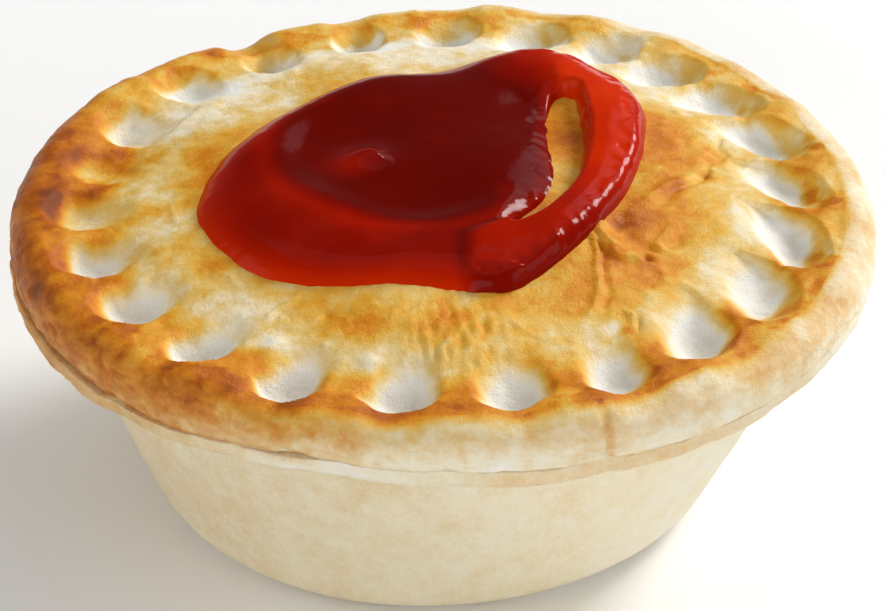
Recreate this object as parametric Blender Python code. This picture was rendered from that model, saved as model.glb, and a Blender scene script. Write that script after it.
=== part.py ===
"""A round single-serve meat pie: a deep pastry case, a finger-crimped pastry lid and a pool of
tomato sauce squeezed over the lid.

The origin is on the table at the middle of the pie, +Z is up and -Y is the front. Sizes are in
millimetres; build_mesh turns them into metres. Shapes are set out from the middle of the dome,
and PIE_SHIFT moves them to the origin. Angles go round the pie from +X towards +Y.
"""

import math

import bpy
import numpy as np

MM = 0.001

# Heights of the main levels above the table.
DOME_TOP = 47.2
RIM_CREST = 43.75
SEAM_LEVEL = 37.7
FLANGE_UNDERSIDE = 34.6

# Radii of the main circles.
RIM_RADIUS = 62.0
CREST_RADIUS = 57.6
WALL_TOP_RADIUS = 55.1
WALL_FOOT_RADIUS = 43.3
WALL_TOP_LEVEL = 32.4
WALL_FOOT_LEVEL = 4.5
BASE_SHIFT = (-2.0, -2.5)  # the base isn't quite below the middle of the dome
PIE_SHIFT = (0.4, 1.0)     # from the middle of the dome to the middle of the whole pie

# The crimps, pressed in by a finger one after another.
CRIMP_COUNT = 23
CRIMP_START = math.radians(-158.6)
CRIMP_DRIFT = ((1, 2.2, 158), (2, 1.9, -68), (3, 1.5, -167))   # order, degrees, phase in degrees
CRIMP_DEPTH = 3.6
CRIMP_HALF_WIDTH = 5.3
CRIMP_WIDER = 2.4          # how much wider the prints of the sharp side are
CRIMP_MIDDLE = 52.4        # radius of the deepest point
CRIMP_REACH_IN = 9.5       # from there towards the middle of the pie
CRIMP_REACH_OUT = 4.4      # and towards the crest
LEAN_ANGLE = math.radians(40)           # near here the prints lie further in, with a longer outer wall
LEAN = 2.2
LIGHT_PRESS_ANGLE = math.radians(170)   # the finger pressed lightly near here
LIGHT_PRESS_SPREAD = math.radians(26)
SHARP_SIDE_ANGLE = math.radians(-12)    # near here the prints are wide, askew, and nearly touch
SHARP_SIDE_SPREAD = math.radians(45)
RIM_DIP = 0.8              # how far the crest sinks where a finger pressed
THROUGH_CRIMP = 18         # this one was pressed right through the crest
THROUGH_DIP = 1.5

# Slow waves of the hand-trimmed outline: order, size, phase in degrees.
RIM_WAVES = ((1, 1.05, -71), (2, 0.55, 31), (3, 0.75, 176), (4, 0.5, -116), (5, 0.2, 13))
SEAM_WAVES = ((3, 0.3, 40), (5, 0.25, 200), (9, 0.15, 75))
CREST_WAVES = ((1, 0.65, -120), (2, 0.3, -70), (5, 0.2, 20))
WALL_WAVES = ((3, 0.3, 15), (5, 0.25, 130))

# The split in front, where the lid has lifted off the flange.
SPLIT_ANGLE = math.radians(-108.5)
SPLIT_WIDTH = 3.4
SPLIT_LIFT = 1.0

# Profiles from the middle outwards: radius, height.
LID_PROFILE = (
    (0, DOME_TOP), (16, 47.0), (30, 46.2), (38, 45.2), (43, 44.2), (47, 43.3), (51, 43.0),
    (54.5, 43.4), (CREST_RADIUS, RIM_CREST),
)
UNDERSIDE_PROFILE = ((0, 42.9), (30, 41.6), (44, 39.2), (54, SEAM_LEVEL), (RIM_RADIUS, SEAM_LEVEL))

# Folds of the thin baked skin on the right of the lid: from x, y to x, y, half width, height.
FOLDS = (
    (23, -17, 34, -29, 2.6, 0.7),
    (26, -8, 33, -15, 2.4, -0.8),
    (22, -21, 16, -36, 2.2, -0.6),
    (33, -18, 36, -9, 2.4, 0.6),
    (-46, 16, -50, 0, 3.5, -0.6),
    (30, 20, 43, 8, 3.0, 0.5),
)
# Broad lumps of the filling under the lid: order of the wave in x and y, size, phase.
LUMPS = ((0.21, 0.13, 0.30, 0.4), (-0.12, 0.24, 0.26, 2.1), (0.31, -0.19, 0.16, 4.0))

# Tomato sauce, seen from above: points of its outer edge, each with the point that faces it on
# the edge of the gap inside its last loop.
SAUCE_EDGES = (
    ((28.6, 2.4), (20.3, 3.0)), ((29.9, 11.0), (20.6, 10.0)), ((30.0, 18.5), (20.4, 16.0)),
    ((28.0, 25.0), (19.9, 20.0)), ((23.5, 30.3), (18.9, 22.0)), ((17.8, 35.0), (17.8, 22.1)),
    ((11.5, 37.4), (16.7, 20.8)), ((5.0, 34.8), (16.0, 17.5)), ((-2.0, 31.2), (15.7, 13.5)),
    ((-12.0, 28.3), (15.7, 9.5)), ((-21.2, 21.6), (15.8, 6.0)), ((-28.2, 11.8), (16.1, 2.5)),
    ((-33.6, 1.2), (16.4, -1.0)), ((-35.2, -8.0), (15.8, -5.0)), ((-32.5, -16.8), (14.8, -8.0)),
    ((-26.0, -25.0), (13.2, -10.8)), ((-16.0, -29.2), (11.7, -12.8)), ((-6.0, -30.5), (10.4, -14.6)),
    ((3.5, -31.5), (9.6, -16.1)), ((8.8, -31.0), (9.8, -17.2)), ((14.0, -26.7), (11.4, -16.8)),
    ((19.2, -20.5), (14.0, -14.2)), ((23.8, -11.8), (17.0, -8.6)), ((26.7, -4.5), (19.2, -2.5)),
)
SAUCE_POOL = 1.7           # thickness of the pool in the middle
SAUCE_COIL = 1.0           # how much more the coil round its left side has
COIL_MIDDLE = (-4.0, 4.0)
COIL_RADII = (20.0, 21.0)
SAUCE_THINNER = 1.1        # how much less the pool has beside the gap
SAUCE_ROPE = 3.2           # thickness of the last loop
ROPE_SLOPE = 0.8           # how far it falls towards its outer edge
PEAK = (-9.9, 1.2)
PEAK_HEIGHT = 1.7
PEAK_RADIUS = 3.1
ROPE_EDGE = 1.9            # how wide the rounded edges of the loop are
POOL_EDGE = 6.5            # the same at the pool's outer side
GAP_EDGE = 5.0             # the same where the pool thins out beside the gap

CLEARANCE = 0.3            # between the lid and the case
SAUCE_CLEARANCE = 0.45     # between the sauce and the lid

# How finely each surface is divided.
FINE = CRIMP_COUNT * 8     # segments round the crimped part of the lid
PLAIN = FINE // 2          # segments round everything else
LID_INNER_RADII = (8, 16, 23, 30, 36.5)
LID_CRIMP_RADII = (41, 44.3, 46.8, 49.2, 51.4, 53.2, 54.8, 56.2, CREST_RADIUS)
SHOULDER_STEPS = 3
INSIDE_RADII = (60.9, 54, 44, 30)
SAUCE_STEPS_ROUND = 72
SAUCE_STEPS_ACROSS = 10


def waves(theta, terms):
    """Sum of cosines round the pie, each given as order, size and phase in degrees."""
    return sum(size * np.cos(order * theta - math.radians(phase)) for order, size, phase in terms)


def blend(x, start, end):
    """0 before start, 1 after end and a smooth S between them."""
    t = np.clip((x - start) / (end - start), 0.0, 1.0)
    return t * t * (3.0 - 2.0 * t)


def through(x, knots):
    """A smooth curve through the knots, which are pairs in rising order: cubic Hermite, where
    the slope at a knot is that of the line between its neighbours."""
    at, value = np.array(knots, float).T
    slope = np.gradient(value, at)
    x = np.clip(x, at[0], at[-1])
    i = np.clip(np.searchsorted(at, x, side="right") - 1, 0, len(at) - 2)
    width = at[i + 1] - at[i]
    t = (x - at[i]) / width
    return (
        value[i] * (1 + 2 * t) * (1 - t) ** 2
        + slope[i] * width * t * (1 - t) ** 2
        + value[i + 1] * t**2 * (3 - 2 * t)
        + slope[i + 1] * width * t**2 * (t - 1)
    )


def crimp_angles():
    """Where each finger pressed: even steps round the rim, with a slow drift."""
    index = np.arange(CRIMP_COUNT)
    turn = 2 * math.pi * index / CRIMP_COUNT
    drift = sum(size * np.cos(order * turn - math.radians(phase)) for order, size, phase in CRIMP_DRIFT)
    return CRIMP_START + turn + np.radians(drift)


def near(angle, middle, spread):
    """1 at the middle angle, falling to 0 on both sides."""
    apart = (angle - middle + math.pi) % (2 * math.pi) - math.pi
    return np.exp(-((apart / spread) ** 2))


def crimp(radius, theta):
    """Depth of the finger prints, how strongly the nearest finger pressed at this angle, 0 to 1,
    and which finger it was. A print has a round crisp lip on the outside and fades inwards."""
    fingers = crimp_angles()
    apart = (theta[..., None] - fingers + math.pi) % (2 * math.pi) - math.pi
    nearest = np.abs(apart).argmin(axis=-1)
    apart = np.take_along_axis(apart, nearest[..., None], axis=-1)[..., 0]
    sharp = near(fingers[nearest], SHARP_SIDE_ANGLE, SHARP_SIDE_SPREAD)
    firm = 1 - 0.6 * near(fingers[nearest], LIGHT_PRESS_ANGLE, LIGHT_PRESS_SPREAD)
    lean = LEAN * (0.5 + 0.5 * np.cos(fingers[nearest] - LEAN_ANGLE))
    half_width = CRIMP_HALF_WIDTH * (1 + 0.1 * np.sin(1.7 * nearest + 0.6)) + CRIMP_WIDER * sharp
    out = radius - CRIMP_MIDDLE + lean - 0.5 * np.sin(2.3 * nearest + 1.0)
    inward = np.clip(-out / CRIMP_REACH_IN, 0, 1)
    outward = np.clip(out / (CRIMP_REACH_OUT + lean), 0, 1)
    across = apart * np.maximum(radius, 44.0) + (0.1 + 0.55 * sharp) * out
    q = np.hypot(across / (half_width * (1 - 0.3 * inward)), outward)
    depth = CRIMP_DEPTH * firm * (1 + 0.12 * np.sin(2.9 * nearest + 0.5))
    hollow = depth * np.clip(1 - q**2.4, 0, 1) ** 1.2 * (1 - blend(inward, 0, 1))
    strength = firm * np.clip(1 - (apart * CREST_RADIUS / half_width) ** 2, 0, 1) ** 1.5
    return hollow, strength, nearest


def fold_height(x, y):
    """Relief of the folds: each is a soft ridge, or a groove, along a straight line."""
    total = np.zeros_like(x)
    for x0, y0, x1, y1, half_width, height in FOLDS:
        length2 = (x1 - x0) ** 2 + (y1 - y0) ** 2
        along = np.clip(((x - x0) * (x1 - x0) + (y - y0) * (y1 - y0)) / length2, 0, 1)
        apart = np.hypot(x - x0 - along * (x1 - x0), y - y0 - along * (y1 - y0))
        total = total + height * np.exp(-((apart / half_width) ** 2))
    return total


def lid_top(radius, theta):
    """Height of the lid's upper side, from the middle to the crest of the rim."""
    x, y = radius * np.cos(theta), radius * np.sin(theta)
    lumps = sum(size * np.sin(kx * x + ky * y + phase) for kx, ky, size, phase in LUMPS)
    lumps = lumps * (1 - 0.6 * blend(radius, 40, 50))
    crest = waves(theta, CREST_WAVES) * blend(radius, 46, CREST_RADIUS)
    hollow, strength, nearest = crimp(radius, theta)
    dip = RIM_DIP + THROUGH_DIP * (nearest == THROUGH_CRIMP)
    crest = crest - dip * strength * blend(radius, 54, CREST_RADIUS)
    return through(radius, LID_PROFILE) + lumps + fold_height(x, y) + crest - hollow


def outline(radius, theta):
    """The radius with the rim's unevenness, which fades out towards the middle."""
    return radius + waves(theta, RIM_WAVES) * blend(radius, 40, CREST_RADIUS)


def split(theta):
    """How far the lid has lifted off the flange at this angle, 0 away from the split."""
    apart = (theta - SPLIT_ANGLE + math.pi) % (2 * math.pi) - math.pi
    return SPLIT_LIFT * np.exp(-((apart * RIM_RADIUS / SPLIT_WIDTH) ** 2))


def seam(radius, theta):
    """Height of the lid's underside, which the case follows one clearance below."""
    return through(radius, UNDERSIDE_PROFILE) + waves(theta, SEAM_WAVES) * blend(radius, 46, 56)


def ring(radius, theta, height):
    """Points of one ring of a turned shape."""
    radius = outline(radius, theta)
    return np.stack([radius * np.cos(theta), radius * np.sin(theta), height], axis=-1)


def turn_angles(count):
    return 2 * math.pi * np.arange(count) / count


def band(first, second):
    """Faces between two rings of point numbers. Where the second has half as many points, each
    pair of steps of the first ends in three triangles."""
    next_first, next_second = np.roll(first, -1), np.roll(second, -1)
    if len(first) == len(second):
        return np.stack([first, second, next_second, next_first], axis=1).tolist()
    near, middle, far = first[::2], first[1::2], np.roll(first[::2], -1)
    triangles = ((near, second, middle), (middle, second, next_second), (middle, next_second, far))
    return np.concatenate([np.stack(corners, axis=1) for corners in triangles]).tolist()


def build_mesh(name, rings, colour, roughness):
    """A closed object from rings of points, each one joined to the next. A ring of one point
    closes an end, and a last ring that is also the first makes a tube round a hole."""
    points, numbers, count = [], [], 0
    for one in rings:
        if numbers and one is rings[0]:
            numbers.append(numbers[0])
            continue
        points.append(one)
        numbers.append(np.arange(count, count + len(one)))
        count += len(one)
    faces = []
    for first, second in zip(numbers, numbers[1:]):
        if len(first) == 1:
            faces += np.stack([np.roll(second, -1), np.full_like(second, first[0]), second], 1).tolist()
        elif len(second) == 1:
            faces += np.stack([first, np.full_like(first, second[0]), np.roll(first, -1)], 1).tolist()
        elif len(first) < len(second):
            faces += [corners[::-1] for corners in band(second, first)]
        else:
            faces += band(first, second)
    mesh = bpy.data.meshes.new(name)
    corners = np.concatenate(points) + (*PIE_SHIFT, 0.0)
    mesh.from_pydata((corners * MM).tolist(), [], faces)
    mesh.validate()
    mesh.shade_smooth()
    mesh.set_sharp_from_angle(angle=math.radians(60))
    mesh.materials.append(food_material(name, colour, roughness))
    made = bpy.data.objects.new(name, mesh)
    bpy.context.scene.collection.objects.link(made)
    return made


def food_material(name, colour, roughness):
    made = bpy.data.materials.new(name)
    made.use_nodes = True
    shader = made.node_tree.nodes["Principled BSDF"]
    shader.inputs["Base Color"].default_value = (*colour, 1.0)
    shader.inputs["Roughness"].default_value = roughness
    shader.inputs["Metallic"].default_value = 0.0
    return made


def pole(height):
    return np.array([[0.0, 0.0, height]])


def lid_rings():
    """From the middle of the dome outwards, round the crimped rim and back along the underside."""
    plain, fine = turn_angles(PLAIN), turn_angles(FINE)
    yield pole(float(lid_top(np.zeros(1), np.zeros(1))[0]))
    for radius in LID_INNER_RADII:
        yield ring(radius, plain, lid_top(np.full_like(plain, radius), plain))
    for radius in LID_CRIMP_RADII:
        yield ring(radius, fine, lid_top(np.full_like(fine, radius), fine))
    # The shoulder is a quarter of an ellipse from the crest to the upright side.
    crest = lid_top(np.full_like(fine, CREST_RADIUS), fine)
    side_level = SEAM_LEVEL + 1.9
    for step in range(1, SHOULDER_STEPS + 1):
        turn = 0.5 * math.pi * step / SHOULDER_STEPS
        radius = CREST_RADIUS + (RIM_RADIUS - CREST_RADIUS) * math.sin(turn)
        yield ring(radius, fine, side_level + (crest - side_level) * math.cos(turn))
    lower_edge = seam(np.full_like(plain, RIM_RADIUS), plain) + split(plain)
    yield ring(RIM_RADIUS + 0.1, plain, lower_edge + 0.4)
    for radius in INSIDE_RADII:
        lift = split(plain) * blend(radius, 56, RIM_RADIUS)
        yield ring(radius, plain, seam(np.full_like(plain, radius), plain) + lift)
    yield pole(UNDERSIDE_PROFILE[0][1])


def wall_radius(height):
    """Radius of the slanted wall, which swells a little half way up."""
    share = (height - WALL_FOOT_LEVEL) / (WALL_TOP_LEVEL - WALL_FOOT_LEVEL)
    swell = 0.5 * math.sin(math.pi * min(max(share, 0.0), 1.0))
    return WALL_FOOT_RADIUS + (WALL_TOP_RADIUS - WALL_FOOT_RADIUS) * share + swell


def case_rings():
    """From the middle under the lid outwards, over the flange, down the wall and along the base."""
    theta = turn_angles(PLAIN)
    yield pole(UNDERSIDE_PROFILE[0][1] - CLEARANCE)
    for radius in reversed(INSIDE_RADII):
        yield ring(radius, theta, seam(np.full_like(theta, radius), theta) - CLEARANCE)
    flange_top = seam(np.full_like(theta, RIM_RADIUS), theta) - CLEARANCE
    droop = waves(theta, WALL_WAVES)
    yield ring(RIM_RADIUS + 0.1, theta, flange_top - 0.6)
    yield ring(RIM_RADIUS + 0.3, theta, flange_top - 1.5)
    yield ring(RIM_RADIUS - 0.3, theta, FLANGE_UNDERSIDE + 0.6 + 0.5 * droop)
    yield ring(RIM_RADIUS - 2.0, theta, FLANGE_UNDERSIDE + 0.5 * droop)
    yield ring(WALL_TOP_RADIUS + 1.5, theta, FLANGE_UNDERSIDE - 0.1 + 0.5 * droop)
    # The inner corner under the flange, the wall, and the foot: an arc from the wall's slant to flat.
    levels = [WALL_TOP_LEVEL + 1.2, WALL_TOP_LEVEL - 1.0, 25.0, 18.0, 11.0, WALL_FOOT_LEVEL]
    radii = [wall_radius(level) for level in levels]
    radii[0] += 0.2
    slant = math.atan((WALL_TOP_RADIUS - WALL_FOOT_RADIUS) / (WALL_TOP_LEVEL - WALL_FOOT_LEVEL))
    arc = WALL_FOOT_LEVEL / (1 - math.sin(slant))
    for step in (1, 2, 3):
        turn = slant + (0.5 * math.pi - slant) * step / 3
        levels.append(arc * (1 - math.sin(turn)))
        radii.append(WALL_FOOT_RADIUS - arc * (math.cos(slant) - math.cos(turn)))
    for level, radius in zip(levels, radii):
        share = level / FLANGE_UNDERSIDE
        uneven = radius + (0.4 + 0.6 * share) * waves(theta, WALL_WAVES) * (level > 0)
        x = uneven * np.cos(theta) + BASE_SHIFT[0] * (1 - share)
        y = uneven * np.sin(theta) + BASE_SHIFT[1] * (1 - share)
        yield np.stack([x, y, np.full_like(theta, level)], axis=-1)
    yield np.array([[*BASE_SHIFT, 0.0]])


def closed_loop(knots, at, wanted):
    """A smooth closed curve: the knots stand at the distances at, and the last one is followed
    by the first again."""
    whole = at[-1]
    at = np.concatenate([at[-4:-1] - whole, at, at[1:4] + whole])
    knots = np.concatenate([knots[-3:], knots, knots[:4]])
    return np.stack([through(wanted, list(zip(at, column))) for column in knots.T], axis=-1)


def sauce_thickness(x, y, across, share):
    """Thickness of the sauce. The pool has a coil round its left side and the small peak where
    the stream started. The last loop lies as a rope on the right, and its end rests on the pool
    in front. The edges round up, steeply at the rope and softly at the pool."""
    in_front = blend(-y, 6, 13)
    rope_end = blend(x - 3.2 - 8.0 * blend(y, -21.5, -14.5), -1.5, 2.3)
    rope = (1 - blend(across, 11, 24)) * (1 - in_front) + rope_end * in_front
    bearing = np.arctan2(y - COIL_MIDDLE[1], x - COIL_MIDDLE[0])
    coiled = blend(0.45 - 0.9 * np.cos(bearing - math.radians(40)), 0.0, 1.0)
    from_middle = np.hypot((x - COIL_MIDDLE[0]) / COIL_RADII[0], (y - COIL_MIDDLE[1]) / COIL_RADII[1])
    step = SAUCE_COIL * coiled * blend(from_middle, 0.83, 1.01)
    from_peak = ((x - PEAK[0]) ** 2 + (y - PEAK[1]) ** 2) / PEAK_RADIUS**2
    pool = SAUCE_POOL + step + PEAK_HEIGHT * np.exp(-(from_peak**0.8))
    pool = pool - SAUCE_THINNER * blend(x, 6, 17) * (1 - coiled)
    body = pool * (1 - rope) + (SAUCE_ROPE - ROPE_SLOPE * blend(share, 0.35, 0.98)) * rope
    soft_edge = GAP_EDGE if share < 0.5 else POOL_EDGE
    width = ROPE_EDGE * rope + soft_edge * (1 - rope)
    edge = np.clip(min(share, 1 - share) * across / np.minimum(width, 0.5 * across), 0, 1)
    return body * np.clip(1 - (1 - edge) ** 2, 0, 1) ** (1.0 - 0.35 * rope)


def sauce_rings():
    """Closed loops from the gap's edge out over the sauce to its outer edge, and back beneath it."""
    outer_knots, gap_knots = np.array(SAUCE_EDGES).swapaxes(0, 1)
    steps = np.linalg.norm(np.roll(outer_knots, -1, axis=0) - outer_knots, axis=1)
    travelled = np.concatenate([[0.0], np.cumsum(steps)])
    wanted = travelled[-1] * np.arange(SAUCE_STEPS_ROUND) / SAUCE_STEPS_ROUND
    outer = closed_loop(outer_knots, travelled, wanted)
    inner = closed_loop(gap_knots, travelled, wanted)
    across = np.linalg.norm(outer - inner, axis=1)
    top, under = [], []
    for step in range(SAUCE_STEPS_ACROSS + 1):
        share = 0.5 - 0.5 * math.cos(math.pi * step / SAUCE_STEPS_ACROSS)
        x, y = (inner + (outer - inner) * share).T
        floor = lid_top(np.hypot(x, y), np.arctan2(y, x)) + SAUCE_CLEARANCE
        thickness = sauce_thickness(x, y, across, share)
        top.append(np.stack([x, y, floor + thickness], axis=-1))
        if step % 2 == 0:
            under.append(np.stack([x, y, floor], axis=-1))
    return top + under[-2:0:-1] + [top[0]]


def clear_scene():
    for old in list(bpy.data.objects):
        bpy.data.objects.remove(old)


clear_scene()
build_mesh("pastry_case", list(case_rings()), (0.78, 0.60, 0.36), 0.75)
build_mesh("pastry_lid", list(lid_rings()), (0.72, 0.44, 0.16), 0.55)
build_mesh("tomato_sauce", sauce_rings(), (0.42, 0.03, 0.01), 0.12)
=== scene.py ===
# %% [markdown]
# # A meat pie with tomato sauce
# A round single-serve meat pie is three things: a deep case of short pastry, a lid of flaky
# pastry whose rim was pressed down by a fingertip, and a pool of tomato sauce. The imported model
# already has each of them as a plain solid of the right size. This lesson gives each one a finely
# divided surface that formulas work out, and a material that bakes it or makes it wet. Sculpting
# by hand would give such surfaces too, but formulas can be read, changed and run again.

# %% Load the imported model
import math

import bpy
import numpy as np
from mathutils import Matrix, Vector


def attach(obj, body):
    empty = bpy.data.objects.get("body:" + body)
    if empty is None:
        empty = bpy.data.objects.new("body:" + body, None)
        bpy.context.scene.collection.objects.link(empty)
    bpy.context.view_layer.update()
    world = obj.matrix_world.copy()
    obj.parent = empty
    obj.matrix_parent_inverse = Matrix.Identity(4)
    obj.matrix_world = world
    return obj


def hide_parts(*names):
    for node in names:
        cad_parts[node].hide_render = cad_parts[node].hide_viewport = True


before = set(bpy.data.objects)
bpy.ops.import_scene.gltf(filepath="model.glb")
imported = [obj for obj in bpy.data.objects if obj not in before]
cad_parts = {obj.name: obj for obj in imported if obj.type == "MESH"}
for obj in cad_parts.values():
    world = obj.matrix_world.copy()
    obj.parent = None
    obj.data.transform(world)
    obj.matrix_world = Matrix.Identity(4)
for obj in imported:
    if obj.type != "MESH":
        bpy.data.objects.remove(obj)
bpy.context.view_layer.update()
print("nodes:", sorted(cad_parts))

# %% [markdown]
# ## The camera
# The photograph looks down on the pie from the front at about 33 degrees, from roughly half a
# metre away. A long lens at that distance gives the same mild perspective. Everything below is
# set out in millimetres from the middle of the dome, and PIE_SHIFT moves it to the model's
# origin, so the camera is moved by the same amount.

# %% Camera
MM = 0.001
PIE_SHIFT = np.array([0.4, 1.0, 0.0])
CAMERA_PLACE = np.array([0.0, -426.6, 297.4]) + PIE_SHIFT
CAMERA_TARGET = np.array([-0.19, 0.0, 23.8]) + PIE_SHIFT
CAMERA_ROLL = math.radians(-0.8)
SENSOR_WIDTH = 36.0
LENS_LENGTH = 139.55

camera_data = bpy.data.cameras.new("camera")
camera_data.sensor_width = SENSOR_WIDTH
camera_data.lens = LENS_LENGTH
camera = bpy.data.objects.new("camera", camera_data)
bpy.context.scene.collection.objects.link(camera)
sight = Vector((CAMERA_TARGET - CAMERA_PLACE).tolist())
turned = sight.to_track_quat("-Z", "Y").to_matrix() @ Matrix.Rotation(CAMERA_ROLL, 3, "Z")
camera.matrix_world = Matrix.Translation(Vector((CAMERA_PLACE * MM).tolist())) @ turned.to_4x4()
bpy.context.scene.camera = camera
print("camera distance in mm:", round(sight.length, 1))

# %% [markdown]
# ## The floor
# Food like this is photographed on a white table.

# %% Floor
# The corners, in metres.
FLOOR_CORNERS = ((-4, -4, 0), (4, -4, 0), (4, 4, 0), (-4, 4, 0))


def paint_plain(name, colour, roughness):
    """A material of one colour, for the floor only."""
    made = bpy.data.materials.new(name)
    made.use_nodes = True
    shader = made.node_tree.nodes["Principled BSDF"]
    shader.inputs["Base Color"].default_value = (*colour, 1.0)
    shader.inputs["Roughness"].default_value = roughness
    return made


floor_mesh = bpy.data.meshes.new("floor")
floor_mesh.from_pydata(FLOOR_CORNERS, [], [(0, 1, 2, 3)])
floor_mesh.materials.append(paint_plain("white_table", (0.9, 0.9, 0.9), 0.6))
floor = bpy.data.objects.new("floor", floor_mesh)
bpy.context.scene.collection.objects.link(floor)
print("floor corners in m:", FLOOR_CORNERS)

# %% [markdown]
# ## The light
# The pie stood beside a window. The window is a soft lamp at the back right, and a narrow second
# pane beside it makes the small glints on the sauce. Lamps overhead, in front, at the right and at
# the left fill the shadows, as white walls would. The world stays dim, because the flat part of
# the sauce mirrors it, and in the photograph it mirrors darkness.

# %% Lamps and world
# Name, azimuth from +X towards +Y and elevation in degrees, distance, width and height in m,
# watts, colour.
LAMPS = (
    ("window", 42, 30, 2.2, 0.75, 0.75, 52, (1.0, 0.985, 0.97)),
    ("second_pane", 67, 27, 2.2, 0.5, 1.0, 1.6, (1, 1, 1)),
    ("overhead", 100, 80, 2.4, 2.6, 2.6, 12, (1, 1, 1)),
    ("front_fill", -105, 18, 2.6, 2.8, 1.2, 30, (1, 1, 1)),
    ("side_fill", -25, 20, 2.6, 2.0, 1.4, 20, (1, 1, 1)),
    ("left_fill", 185, 25, 2.6, 1.8, 1.4, 14, (1, 1, 1)),
)
AIM = Vector((0, 0, 0.03))
WORLD_STRENGTH = 0.11


def soft_lamp(name, azimuth, elevation, distance, width, height, watts, colour):
    """An area lamp that stands in the given direction from the pie and faces it."""
    turn, rise = math.radians(azimuth), math.radians(elevation)
    level = math.cos(rise)
    away = Vector((math.cos(turn) * level, math.sin(turn) * level, math.sin(rise)))
    lamp = bpy.data.lights.new(name, "AREA")
    lamp.shape = "RECTANGLE"
    lamp.size = width
    lamp.size_y = height
    lamp.energy = watts
    lamp.color = colour
    placed = bpy.data.objects.new(name, lamp)
    placed.location = away * distance + AIM
    placed.rotation_euler = (-away).to_track_quat("-Z", "Y").to_euler()
    bpy.context.scene.collection.objects.link(placed)


for row in LAMPS:
    soft_lamp(*row)
world = bpy.data.worlds.new("room")
world.use_nodes = True
world.node_tree.nodes["Background"].inputs["Color"].default_value = (1.0, 1.0, 1.0, 1.0)
world.node_tree.nodes["Background"].inputs["Strength"].default_value = WORLD_STRENGTH
bpy.context.scene.world = world
bpy.context.scene.view_settings.view_transform = "Standard"
print("lamps:", [row[0] for row in LAMPS], "watts in all:", sum(row[6] for row in LAMPS))

# %% [markdown]
# ## Helpers for shapes
# Every surface here is a grid: one direction goes round the pie, the other along a profile. The
# helpers below are the usual small tools: a smooth step, a smooth curve through a few knots, a
# sum of waves round the rim, and a soft window round one angle. They take whole arrays of points,
# because numpy works out a hundred thousand points at once as easily as one.

# %% Smooth steps, curves and waves
def blend(x, start, end):
    """0 before start, 1 after end and a smooth S, 3t^2 - 2t^3, between them."""
    t = np.clip((x - start) / (end - start), 0.0, 1.0)
    return t * t * (3.0 - 2.0 * t)


def through(x, knots):
    """A smooth curve through knots in rising order: cubic Hermite, where the slope at a knot is
    that of the line between its neighbours."""
    at, value = np.array(knots, float).T
    slope = np.gradient(value, at)
    x = np.clip(x, at[0], at[-1])
    i = np.clip(np.searchsorted(at, x, side="right") - 1, 0, len(at) - 2)
    width = at[i + 1] - at[i]
    t = (x - at[i]) / width
    return (
        value[i] * (1 + 2 * t) * (1 - t) ** 2
        + slope[i] * width * t * (1 - t) ** 2
        + value[i + 1] * t**2 * (3 - 2 * t)
        + slope[i + 1] * width * t**2 * (t - 1)
    )


def waves(theta, terms):
    """Sum of cosines round the pie, each given as order, size and phase in degrees."""
    return sum(size * np.cos(order * theta - math.radians(phase)) for order, size, phase in terms)


def near(theta, middle, spread):
    """1 at the middle angle, falling to 0 on both sides as a bell, exp(-t^2) with t the angle
    between them over the spread. middle and spread are in degrees."""
    apart = (theta - math.radians(middle) + math.pi) % (2 * math.pi) - math.pi
    return np.exp(-((apart / math.radians(spread)) ** 2))


print("blend from 0 to 1:", np.round(blend(np.linspace(0, 1, 5), 0, 1), 2).tolist())

# %% [markdown]
# Nothing that a hand and an oven made is even. Soft noise gives dents, grain and mottling. It is
# worked out from the place alone, so the same point always gets the same value, and the lid and
# the case, which are separate pieces, agree where they meet.

# %% Noise
def speckle(x, y, z, size, seed):
    """Soft noise from -1 to 1 with lumps of about the given size: a random number at each corner
    of a cubic lattice, from the fraction of a large sine, blended smoothly in between."""
    place = np.stack([x, y, z]) / size
    corner = np.floor(place)
    t = place - corner
    t = t * t * (3.0 - 2.0 * t)
    total = 0.0
    for dx in (0, 1):
        for dy in (0, 1):
            for dz in (0, 1):
                cx, cy, cz = corner[0] + dx, corner[1] + dy, corner[2] + dz
                value = np.sin(cx * 127.1 + cy * 311.7 + cz * 74.7 + seed * 19.19) * 43758.5453
                weight = (t[0] if dx else 1 - t[0]) * (t[1] if dy else 1 - t[1])
                weight = weight * (t[2] if dz else 1 - t[2])
                total = total + weight * (value - np.floor(value))
    return 2.0 * total - 1.0


def rough(x, y, z, size, seed):
    """Three layers of speckle, each half as large and half as strong as the last."""
    return (
        speckle(x, y, z, size, seed)
        + 0.5 * speckle(x, y, z, size / 2, seed + 1)
        + 0.25 * speckle(x, y, z, size / 4, seed + 2)
    ) / 1.4


def flat_speckle(x, y, size, seed):
    """speckle for a surface seen from above, where only x and y count."""
    return speckle(x, y, np.zeros_like(x), size, seed)


def flat_rough(x, y, size, seed):
    """rough for a surface seen from above, where only x and y count."""
    return rough(x, y, np.zeros_like(x), size, seed)


line = np.arange(5.0)
print("noise along a line:", np.round(flat_speckle(line, 0 * line, 2.0, 1), 2).tolist())

# %% [markdown]
# Some marks stand at places of their own: a blister, a burnt spot, a fold in the skin. Spots are
# soft round bumps, and strokes are soft bumps along a straight line.

# %% Spots and strokes
def spots(x, y, terms):
    """Sum of soft round spots, each given as x, y, radius and strength."""
    total = np.zeros_like(x)
    for spot_x, spot_y, radius, strength in terms:
        total = total + strength * np.exp(-((x - spot_x) ** 2 + (y - spot_y) ** 2) / radius**2)
    return total


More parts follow.
